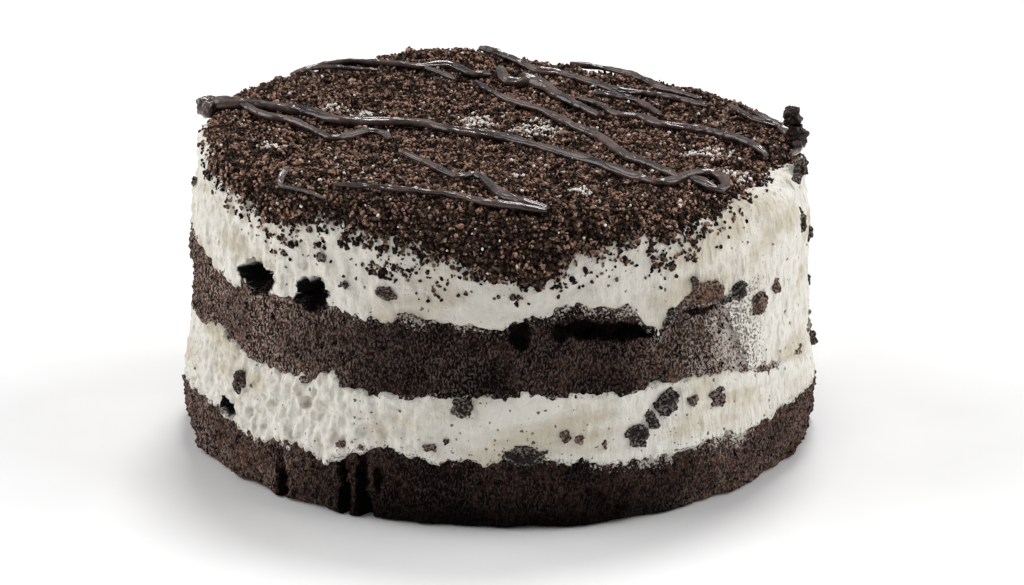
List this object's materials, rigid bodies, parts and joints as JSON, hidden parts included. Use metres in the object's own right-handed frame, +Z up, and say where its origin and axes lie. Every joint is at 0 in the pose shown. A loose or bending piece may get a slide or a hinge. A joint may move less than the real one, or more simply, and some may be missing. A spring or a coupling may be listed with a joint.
{
  "type": "cookies and cream ice cream cake",
  "caption": "Round layered ice cream cake of chocolate sponge and speckled ice cream, with a cookie crumb top and chocolate drizzle.",
  "frame": {"origin": "middle of the flat underside of the bottom sponge", "axes": "+Z up through the middle of the cake, -Y towards the side that the picture shows"},
  "size_m": [0.1803, 0.1807, 0.0916],
  "materials": {
    "chocolate_sponge": "matte, porous",
    "ice_cream": "satin, speckled",
    "cookie_crumb": "matte, crumbly",
    "cookie_chunk": "matte, rough",
    "chocolate_drizzle": "satin to gloss"
  },
  "bodies": {
    "root": {"base_sponge": "chocolate_sponge", "lower_ice_cream": "ice_cream", "middle_sponge": "chocolate_sponge", "upper_ice_cream": "ice_cream", "crumb_topping": "cookie_crumb", "cookie_chunk_1": "cookie_chunk", "cookie_chunk_2": "cookie_chunk", "cookie_chunk_3": "cookie_chunk", "cookie_chunk_4": "cookie_chunk", "cookie_chunk_5": "cookie_chunk", "cookie_chunk_6": "cookie_chunk", "cookie_chunk_7": "cookie_chunk", "cookie_chunk_8": "cookie_chunk", "cookie_chunk_9": "cookie_chunk", "cookie_chunk_10": "cookie_chunk", "cookie_chunk_11": "cookie_chunk"}
  },
  "joints": []
}
